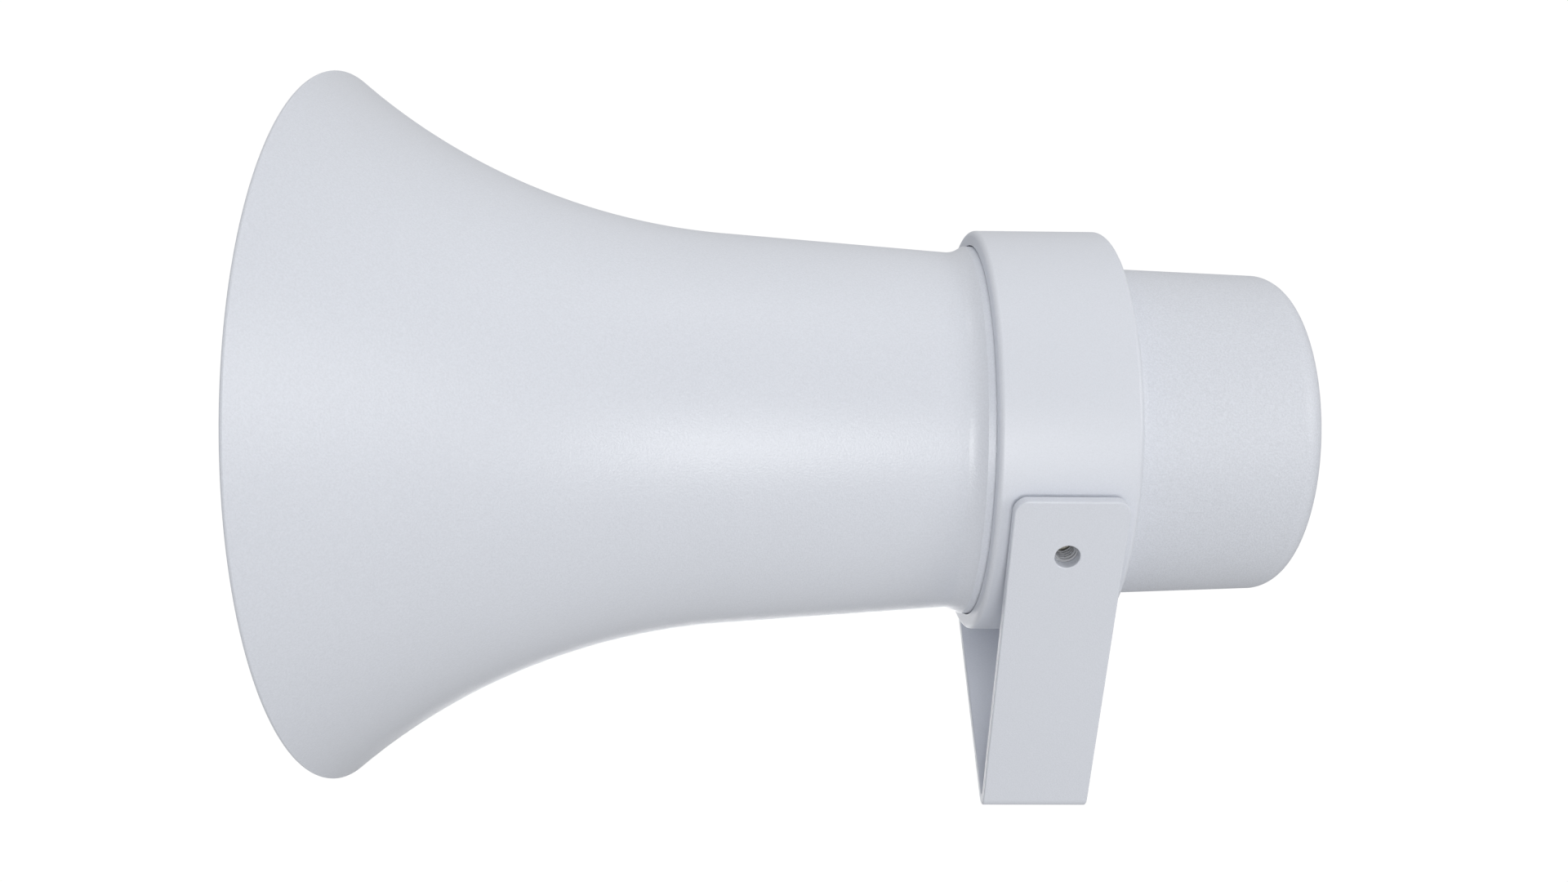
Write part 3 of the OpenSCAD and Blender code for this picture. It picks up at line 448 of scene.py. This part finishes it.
def bell():
    """Bell, neck, flange, spigot and bulkhead in one turned shell."""
    mouth_r = -bell_low.z
    lip_x = bell_low.x + LIP
    draft = math.radians(NECK_DRAFT)
    flare_r = FLARE_END_R + FLARE_RADIUS * math.cos(draft)
    flare_x = lip_x + math.sqrt(FLARE_RADIUS**2 - (flare_r - mouth_r) ** 2)
    end_x = flare_x - FLARE_RADIUS * math.sin(draft)
    inner = FLARE_RADIUS + BELL_WALL
    inner_mouth_r = flare_r - math.sqrt(inner**2 - (flare_x - lip_x) ** 2)
    outer_start = 180 + math.degrees(math.asin((flare_r - mouth_r) / FLARE_RADIUS))
    inner_start = 180 + math.degrees(math.asin((flare_r - inner_mouth_r) / inner))
    flange_back = ring_low.x + FLANGE_TO_RING
    neck_end = flange_back - FLANGE_LENGTH - FLANGE_FILLET
    neck_end_r = FLARE_END_R - (neck_end - end_x) * math.tan(draft)
    rise = FLANGE_R - neck_end_r
    fillet_r = (FLANGE_FILLET**2 + rise**2) / (2 * rise)
    fillet_sweep = math.degrees(math.asin(FLANGE_FILLET / fillet_r))
    fillet = arc(neck_end, neck_end_r + fillet_r, fillet_r, 270, 270 + fillet_sweep, 14)
    bulkhead = gasket_low.x
    bulkhead_front = bulkhead - BULKHEAD
    bore_r = FLARE_END_R - BELL_WALL / math.cos(draft) - (bulkhead_front - end_x) * math.tan(draft)
    outer_end = (end_x, FLARE_END_R)
    inner_end = (end_x - BELL_WALL * math.sin(draft), FLARE_END_R - BELL_WALL * math.cos(draft))
    outline = arc(lip_x, inner_mouth_r + LIP, LIP, 270, 180, 8)
    outline += arc(lip_x, mouth_r - LIP, LIP, 180, 90, 10)
    outline += arc(flare_x, flare_r, FLARE_RADIUS, outer_start, 270 - NECK_DRAFT, 90)[1:]
    outline += straight(outer_end, (neck_end, neck_end_r), 24)
    outline += fillet
    outline += arc(flange_back - FINE_EDGE, FLANGE_R - FINE_EDGE, FINE_EDGE, 90, 0, 4)
    outline += [(flange_back, SPIGOT_R), (bell_high.x, SPIGOT_R), (bell_high.x, SPIGOT_BORE_R)]
    outline += [(bulkhead, SPIGOT_BORE_R), (bulkhead, THROAT_SEAT_R), (bulkhead_front, THROAT_SEAT_R)]
    outline += straight((bulkhead_front, THROAT_SEAT_R), (bulkhead_front, bore_r), 6)
    outline += [(bulkhead_front, bore_r)]
    outline += straight((bulkhead_front, bore_r), inner_end, 24)
    outline += arc(flare_x, flare_r, inner, 270 - NECK_DRAFT, inner_start, 90)[:-1]
    piece = as_object(turn(outline), "bell_shell")
    shade(piece)
    return place(piece, "horn", "shell_white", "horn_bell")


# ---------- ring ----------

RING_EDGE = 1.5 * MM
RING_BORE_R = 54 * MM
BUSH_R = 6 * MM


def leg_normals():
    """Unit vectors out of the outer face of the near and the far leg."""
    out = []
    for mount in frame["record"]["mounts"]:
        if mount["name"].startswith("leg_bolt"):
            out.append((Vector(mount["pos_m"]), Vector(mount["axis"])))
    return out


def leg_tool(origin, normal, profile):
    """A turned tool along a leg's normal, its profile measured outwards from origin."""
    tool = as_object(turn(profile, TOOL_STEPS), "tool")
    turn_to = Vector((1, 0, 0)).rotation_difference(normal).to_matrix().to_4x4()
    tool.data.transform(Matrix.Translation(origin) @ turn_to)
    return tool


def ring():
    """Plain band with rounded outer edges, drilled for the bushes."""
    front, back, radius = ring_low.x, ring_high.x, -ring_low.z
    front_x, back_x, edge_r = front + RING_EDGE, back - RING_EDGE, radius - RING_EDGE
    outline = [(front, RING_BORE_R)]
    outline += arc(front_x, edge_r, RING_EDGE, 180, 90, 10)
    outline += straight((front_x, radius), (back_x, radius), 8)
    outline += arc(back_x, edge_r, RING_EDGE, 90, 0, 10)
    outline += [(back, RING_BORE_R)]
    piece = as_object(turn(outline), "ring_shell")
    reach = 2 * BUSH_R
    seat = [(-reach, 0), (-reach, BUSH_R), (reach, BUSH_R), (reach, 0)]
    tools = [leg_tool(at, out, seat) for at, out in leg_normals()]
    combine(piece, tools, "DIFFERENCE")
    shade(piece)
    return place(piece, "mount", "strap_white", "ring_band")


# ---------- stirrup strap ----------

STRAP_T = 3 * MM
STRAP_FACE = 62.3 * MM
STRAP_ABOVE = 10.6 * MM
STRAP_CORNER = 3.8 * MM
STRAP_EDGE = 0.45 * MM
BEND_R = 4.2 * MM
LEG_HOLE_R = 3.25 * MM
HOLE_EDGE = 0.3 * MM
BUSH_LENGTH = 5 * MM
EDGE_STEPS = 6
END_STEPS = 15
LEG_STEPS = 24
BEND_STEPS = 40
SAME_SPOT = 1e-7


def inset(radius, distance):
    """How far a rounded corner still is from its full width, at a distance from its end."""
    if distance >= radius:
        return 0.0
    return radius - math.sqrt(radius**2 - (radius - distance) ** 2)


def strap_section(distance, half_w):
    """Outline (x, n) of the strap's section, with round edges, at a distance from a leg's end."""
    edge = STRAP_EDGE - inset(STRAP_EDGE, distance)
    w = half_w - inset(STRAP_CORNER, distance) - edge
    h = STRAP_T / 2 - STRAP_EDGE
    points = []
    for corner, (side, face) in enumerate(((1, 1), (-1, 1), (-1, -1), (1, -1))):
        for i in range(EDGE_STEPS + 1):
            angle = math.radians(90 * (corner + i / EDGE_STEPS))
            points.append((side * w + edge * math.cos(angle), face * h + edge * math.sin(angle)))
    return points


def strap():
    """A strap bent into a V, with round edges and corners and one hole in each leg."""
    half_w = (strap_high.x - strap_low.x) / 2
    centre_x = (strap_high.x + strap_low.x) / 2
    lean = math.asin(-leg_normals()[0][1].z)
    arm = STRAP_FACE - BEND_R
    bend_z = -arm / math.sin(lean)
    leg = STRAP_ABOVE + arm / math.tan(lean)
    middle_r = BEND_R - STRAP_T / 2
    ends = {
        radius * (1 - math.cos(math.pi / 2 * i / END_STEPS))
        for radius in (STRAP_CORNER, STRAP_EDGE) for i in range(END_STEPS + 1)
    }
    distances = sorted(ends)
    distances += [STRAP_CORNER + (leg - STRAP_CORNER) * i / LEG_STEPS for i in range(1, LEG_STEPS + 1)]
    half = []
    normal = (-math.cos(lean), -math.sin(lean))
    away = STRAP_FACE - STRAP_T / 2
    for distance in distances:
        along = STRAP_ABOVE - distance
        spot = (away * normal[0] - along * math.sin(lean), away * normal[1] + along * math.cos(lean))
        half.append((spot, normal, distance))
    stations = list(half)
    turn_by = math.pi - 2 * lean
    for i in range(1, BEND_STEPS):
        angle = math.pi + lean + turn_by * i / BEND_STEPS
        normal = (math.cos(angle), math.sin(angle))
        stations.append(((middle_r * normal[0], bend_z + middle_r * normal[1]), normal, leg))
    stations += [((-y, z), (-ny, nz), distance) for (y, z), (ny, nz), distance in reversed(half)]
    made = bmesh.new()
    rows = []
    for (y, z), (ny, nz), distance in stations:
        section = strap_section(distance, half_w)
        rows.append([made.verts.new((centre_x + x, y + ny * n, z + nz * n)) for x, n in section])
    for a, b in zip(rows, rows[1:]):
        for i in range(len(a)):
            j = (i + 1) % len(a)
            made.faces.new((a[i], a[j], b[j], b[i]))
    made.faces.new(rows[0])
    made.faces.new(rows[-1])
    bmesh.ops.remove_doubles(made, verts=made.verts, dist=SAME_SPOT)
    bmesh.ops.recalc_face_normals(made, faces=made.faces)
    piece = as_object(made, "strap_plate")
    inner, outer, wide = BUSH_LENGTH / 2, BUSH_LENGTH / 2 + STRAP_T, LEG_HOLE_R + HOLE_EDGE
    hole = [(inner - MM, 0), (inner - MM, wide)]
    hole += arc(inner + HOLE_EDGE, wide, HOLE_EDGE, 180, 270, 5)
    hole += arc(outer - HOLE_EDGE, wide, HOLE_EDGE, 270, 360, 5)
    hole += [(outer + MM, wide), (outer + MM, 0)]
    combine(piece, [leg_tool(at, out, hole) for at, out in leg_normals()], "DIFFERENCE")
    shade(piece)
    return place(piece, "mount", "strap_white", "stirrup_strap")


# ---------- threaded bushes ----------

THREAD_PITCH = 1 * MM
THREAD_DEPTH = 0.5 * MM
THREAD_R = 3 * MM
THREAD_FLANK = 0.44
THREAD_FADE = 5
THREAD_AROUND = 64
THREAD_ALONG = 60


def bush(origin, normal, made):
    """A round bush with a real helical thread, added to a mesh."""
    around, along = THREAD_AROUND, THREAD_ALONG
    lift = Matrix.Translation(origin) @ Vector((0, 0, 1)).rotation_difference(normal).to_matrix().to_4x4()
    rows = []
    for k in range(along + 1):
        depth = BUSH_LENGTH * (0.5 - k / along)
        row = []
        for i in range(around):
            angle = 2 * math.pi * i / around
            phase = (depth / THREAD_PITCH - i / around) % 1.0
            ridge = max(0.0, 1 - abs(phase - 0.5) / THREAD_FLANK)
            fade = min(1.0, k / THREAD_FADE, (along - k) / THREAD_FADE)
            r = THREAD_R - THREAD_DEPTH * ridge * fade
            row.append(made.verts.new(lift @ Vector((r * math.cos(angle), r * math.sin(angle), depth))))
        rows.append(row)
    for radius, depth in ((BUSH_R, -BUSH_LENGTH / 2), (BUSH_R, BUSH_LENGTH / 2)):
        rows.append([
            made.verts.new(lift @ Vector((
                radius * math.cos(2 * math.pi * i / around),
                radius * math.sin(2 * math.pi * i / around),
                depth,
            )))
            for i in range(around)
        ])
    for a, b in zip(rows, rows[1:] + rows[:1]):
        for i in range(around):
            j = (i + 1) % around
            made.faces.new((a[i], a[j], b[j], b[i]))


def bushes():
    """Both threaded bushes, one behind each leg's hole."""
    made = bmesh.new()
    for at, out in leg_normals():
        bush(at, out, made)
    bmesh.ops.recalc_face_normals(made, faces=made.faces)
    piece = as_object(made, "bush_threads")
    shade(piece, 50)
    return place(piece, "mount", "steel", "thread_bushes", finish=bush_finish)


# ---------- rear cover ----------

COVER_FRONT_R = 47.6 * MM
COVER_REAR_R = 46 * MM
COVER_ROUND = 7 * MM
COVER_WALL = 2.8 * MM
COVER_FLANGE = 3.5 * MM
COVER_ROOT = 3 * MM
KNOB_POCKET_R = 14 * MM
GLAND_POCKET_R = 13.5 * MM
POCKET_DEPTH = 6 * MM
POCKET_WALL = 2.5 * MM
SWITCH_HOLE_R = 5 * MM
GLAND_HOLE_R = 8.1 * MM
SCREW_SEAT_R = 3.8 * MM
SCREW_SEAT_DEPTH = 4.5 * MM
SCREW_HOLE_R = 2.2 * MM
SCREW_POST_R = 5.2 * MM
SCREW_HEAD_R = 3.5 * MM
POST_LENGTH = 4 * MM
TOOL_OVER = 1 * MM
TOOL_STAGGER = 0.1 * MM
SEAT_STEPS = 48


def cover():
    """Turned cap with two recesses and four screw seats in its rear face."""
    end, front = cover_high.x, cover_low.x
    body = front + COVER_FLANGE
    corner_x, corner_r = end - COVER_ROUND, COVER_REAR_R - COVER_ROUND
    root_x, root_r = body + COVER_ROOT, COVER_FRONT_R + COVER_ROOT
    outline = [(front, COVER_FRONT_R - COVER_WALL)]
    outline += arc(front + FINE_EDGE, FLANGE_R - FINE_EDGE, FINE_EDGE, 180, 90, 3)
    outline += arc(body - FINE_EDGE, FLANGE_R - FINE_EDGE, FINE_EDGE, 90, 0, 3)
    outline += arc(root_x, root_r, COVER_ROOT, 180, 270, 12)
    outline += straight((root_x, COVER_FRONT_R), (corner_x, COVER_REAR_R), 16)
    outline += arc(corner_x, corner_r, COVER_ROUND, 90, 0, 32)
    outline += [(end, 0), (end - COVER_WALL, 0)]
    outline += arc(corner_x, corner_r, COVER_ROUND - COVER_WALL, 0, 90, 16)
    piece = as_object(turn(outline), "cover_shell")
    knob_z, gland_z = (knob_low.z + knob_high.z) / 2, (nut_low.z + nut_high.z) / 2
    floor = end - POCKET_DEPTH
    seats = [
        (y * (screw_high.y - SCREW_HEAD_R), z * (screw_high.z - SCREW_HEAD_R))
        for y in (-1, 1)
        for z in (-1, 1)
    ]
    knob_end, gland_end = end - TOOL_OVER, end - TOOL_OVER - TOOL_STAGGER
    joined = [
        disc_tool(floor - POCKET_WALL, knob_end, KNOB_POCKET_R + POCKET_WALL, z=knob_z),
        disc_tool(floor - POCKET_WALL, gland_end, GLAND_POCKET_R + POCKET_WALL, z=gland_z),
    ]
    post_start, post_end = end - SCREW_SEAT_DEPTH - POST_LENGTH, end - TOOL_OVER - 2 * TOOL_STAGGER
    joined += [disc_tool(post_start, post_end, SCREW_POST_R, y, z) for y, z in seats]
    combine(piece, joined, "UNION")
    cut = [
        disc_tool(floor, end + TOOL_OVER, KNOB_POCKET_R, z=knob_z),
        disc_tool(floor, end + TOOL_OVER, GLAND_POCKET_R, z=gland_z),
        disc_tool(floor - 2 * POCKET_WALL, end, SWITCH_HOLE_R, z=knob_z),
        disc_tool(floor - 2 * POCKET_WALL, end, GLAND_HOLE_R, z=gland_z),
    ]
    seat_floor = end - SCREW_SEAT_DEPTH
    cut += [disc_tool(seat_floor, end + TOOL_OVER, SCREW_SEAT_R, y, z, SEAT_STEPS) for y, z in seats]
    cut += [disc_tool(end - 3 * SCREW_SEAT_DEPTH, end, SCREW_HOLE_R, y, z, SEAT_STEPS) for y, z in seats]
    combine(piece, cut, "DIFFERENCE")
    shade(piece)
    return place(piece, "horn", "shell_white", "rear_cover", finish=cover_finish)


TAP_COUNT = 5
TAP_STEP = 30
MARK_R = 0.9 * MM
MARK_AT = 11.6 * MM
MARK_FLATTEN = 0.6


def tap_marks():
    """Five raised dots around the knob, one for each power tap."""
    made = bmesh.new()
    knob_z = (knob_low.z + knob_high.z) / 2
    floor = cover_high.x - POCKET_DEPTH
    for i in range(TAP_COUNT):
        angle = math.radians((i - (TAP_COUNT - 1) / 2) * TAP_STEP)
        centre = Vector((floor, MARK_AT * math.sin(angle), knob_z + MARK_AT * math.cos(angle)))
        dot = turn([(0, 0)] + arc(0, 0, MARK_R, 90, 0, 6)[:-1] + [(MARK_R, 0)], 24)
        dot.transform(Matrix.Translation(centre) @ Matrix.Scale(MARK_FLATTEN, 4, (1, 0, 0)))
        spare = bpy.data.meshes.new("dot")
        dot.to_mesh(spare)
        dot.free()
        made.from_mesh(spare)
        bpy.data.meshes.remove(spare)
    piece = as_object(made, "tap_marks")
    shade(piece, 60)
    return place(piece, "horn", "shell_white")


# ---------- reflector cup ----------

CUP_R = 34 * MM
CUP_WALL = 2.5 * MM
CUP_NOSE = 20 * MM
CUP_GAP = 15 * MM
CUP_POST_R = 3 * MM
CUP_POSTS = 3
NOSE_STEPS = 40
POST_STEPS = 48


def reflector():
    """Cup with a domed nose, carried on three posts."""
    back = cup_high.x - CUP_GAP
    nose = cup_low.x + CUP_NOSE
    in_r = CUP_R - CUP_WALL
    outline = [(back, in_r)] + arc(back - FINE_EDGE, CUP_R - FINE_EDGE, FINE_EDGE, 0, 90, 3)
    outline += straight((back, CUP_R), (nose, CUP_R), 12)
    for i in range(NOSE_STEPS + 1):
        angle = math.pi / 2 * i / NOSE_STEPS
        outline.append((nose - CUP_NOSE * math.sin(angle), CUP_R * math.cos(angle)))
    for i in range(NOSE_STEPS, -1, -1):
        angle = math.pi / 2 * i / NOSE_STEPS
        outline.append((nose - (CUP_NOSE - CUP_WALL) * math.sin(angle), in_r * math.cos(angle)))
    piece = as_object(turn(outline), "cup_shell")
    at = CUP_R - CUP_WALL / 2
    posts = []
    for i in range(CUP_POSTS):
        angle = 2 * math.pi * i / CUP_POSTS
        y, z = -at * math.sin(angle), at * math.cos(angle)
        posts.append(disc_tool(back - CUP_GAP, cup_high.x, CUP_POST_R, y, z, POST_STEPS))
    combine(piece, posts, "UNION")
    shade(piece)
    return place(piece, "horn", "moulding_white", "reflector_cup")


# ---------- build the object ----------

bell()
ring()
strap()
bushes()
cover()
tap_marks()
reflector()

for node, name, body, width in (
    ("saddle_pads", "pad_blocks", "mount", 0.3 * MM),
    ("tap_knob", "knob_cap", "selector", 0.35 * MM),
    ("gland_nut", "gland_cap_nut", "gland_cap", 0.3 * MM),
    ("switch_nut", "switch_hex", "horn", 0.2 * MM),
    ("cover_screws", "cover_screw_heads", "horn", 0.2 * MM),
):
    part = from_cad(node, name, width)
    shade(part)
    place(part, body, slot_of[node], node)

# ---------- floor and light ----------

FLOOR_DROP = 0.3
FLOOR_SIZE = 40.0
BACKGROUND = 1.02

low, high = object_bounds()
middle = (low + high) / 2


def backdrop_white(name, glow):
    """An even white that only the camera sees, so that the floor runs into the background."""
    g = Graph(name)
    shine = g.add("ShaderNodeEmission")
    clear = g.add("ShaderNodeBsdfTransparent")
    pick = g.add("ShaderNodeMixShader")
    shine.inputs["Strength"].default_value = glow
    g.link(g.add("ShaderNodeLightPath").outputs["Is Camera Ray"], pick.inputs["Fac"])
    g.link(clear.outputs["BSDF"], pick.inputs[1])
    g.link(shine.outputs["Emission"], pick.inputs[2])
    g.link(pick.outputs["Shader"], g.tree.nodes["Material Output"].inputs["Surface"])
    return g.material


def floor():
    """A wide pale floor below the object."""
    made = bmesh.new()
    bmesh.ops.create_grid(made, x_segments=1, y_segments=1, size=FLOOR_SIZE / 2)
    piece = as_object(made, "floor")
    piece.location = (middle.x, middle.y, low.z - FLOOR_DROP)
    piece.data.materials.append(backdrop_white("floor_pale", BACKGROUND))
    piece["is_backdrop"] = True


def soft_box(name, place_at, aim, size, power):
    """A rectangular soft light that faces a point."""
    data = bpy.data.lights.new(name, "AREA")
    data.shape = "RECTANGLE"
    data.size, data.size_y = size
    data.energy = power
    lamp = bpy.data.objects.new(name, data)
    lamp.location = place_at
    lamp.rotation_mode = "QUATERNION"
    lamp.rotation_quaternion = (Vector(aim) - Vector(place_at)).to_track_quat("-Z", "Y")
    bpy.context.scene.collection.objects.link(lamp)


def sky(up, level, down, seen):
    """Soft light from all round, set from above, from the sides and from below, on a plain background."""
    world = bpy.data.worlds.new("studio")
    world.use_nodes = True
    bpy.context.scene.world = world
    tree = world.node_tree
    tree.nodes.clear()

    def add(kind):
        return tree.nodes.new(kind)

    out = add("ShaderNodeOutputWorld")
    where = add("ShaderNodeTexCoord")
    split = add("ShaderNodeSeparateXYZ")
    curve = add("ShaderNodeValToRGB")
    scaled = add("ShaderNodeMapRange")
    lit = add("ShaderNodeBackground")
    shown = add("ShaderNodeBackground")
    pick = add("ShaderNodeMixShader")
    path = add("ShaderNodeLightPath")
    scaled.inputs["From Min"].default_value = -1
    tree.links.new(where.outputs["Generated"], split.inputs[0])
    tree.links.new(split.outputs["Z"], scaled.inputs["Value"])
    tree.links.new(scaled.outputs["Result"], curve.inputs["Fac"])
    ramp = curve.color_ramp
    ramp.elements[0].color = (down, down, down, 1)
    ramp.elements[1].color = (up, up, up, 1)
    ramp.elements.new(0.5).color = (level, level, level, 1)
    tree.links.new(curve.outputs["Color"], lit.inputs["Color"])
    shown.inputs["Color"].default_value = (seen, seen, seen, 1)
    tree.links.new(path.outputs["Is Camera Ray"], pick.inputs["Fac"])
    tree.links.new(lit.outputs["Background"], pick.inputs[1])
    tree.links.new(shown.outputs["Background"], pick.inputs[2])
    tree.links.new(pick.outputs["Shader"], out.inputs["Surface"])


SKY_UP = 0.85
SKY_LEVEL = 0.24
SKY_DOWN = 0.55
SOFT_BOXES = (
    # name, place, what it faces, width and height, power in watts
    ("top_box", (0.11, -0.55, 0.9), (0.11, 0, 0), (0.18, 0.18), 0.5),
    ("front_box", (0.15, -1.45, -0.47), (0.15, 0, 0), (0.5, 0.5), 7.8),
    ("rear_box", (1.3, -0.9, 0.1), (0.2, 0, 0), (0.8, 0.8), 4.8),
    ("back_box", (0.12, 1.5, -0.15), (0.13, 0, 0), (0.7, 0.7), 5.0),
)

floor()
sky(SKY_UP, SKY_LEVEL, SKY_DOWN, BACKGROUND)
for light in SOFT_BOXES:
    soft_box(*light)

# ---------- camera ----------

IMAGE_WIDTH = 1920
FOCAL = 1581.7
SENSOR = 36.0
CLIP_START = 0.01
CAMERA_PLACE = (0.1168, -0.3767, -0.0543)
CAMERA_YAW = -0.0195
CAMERA_PITCH = 0.1336
CAMERA_ROLL = -0.0046

lens = bpy.data.cameras.new("camera")
lens.sensor_width = SENSOR
lens.lens = FOCAL / IMAGE_WIDTH * SENSOR
lens.clip_start = CLIP_START
viewer = bpy.data.objects.new("camera", lens)
viewer.matrix_world = (
    Matrix.Translation(CAMERA_PLACE)
    @ Matrix.Rotation(CAMERA_YAW, 4, "Z")
    @ Matrix.Rotation(CAMERA_PITCH, 4, "X")
    @ Matrix.Rotation(CAMERA_ROLL, 4, "Y")
    @ Matrix.Rotation(math.pi / 2, 4, "X")
)
bpy.context.scene.collection.objects.link(viewer)
bpy.context.scene.camera = viewer
bpy.context.scene.view_settings.view_transform = "Standard"
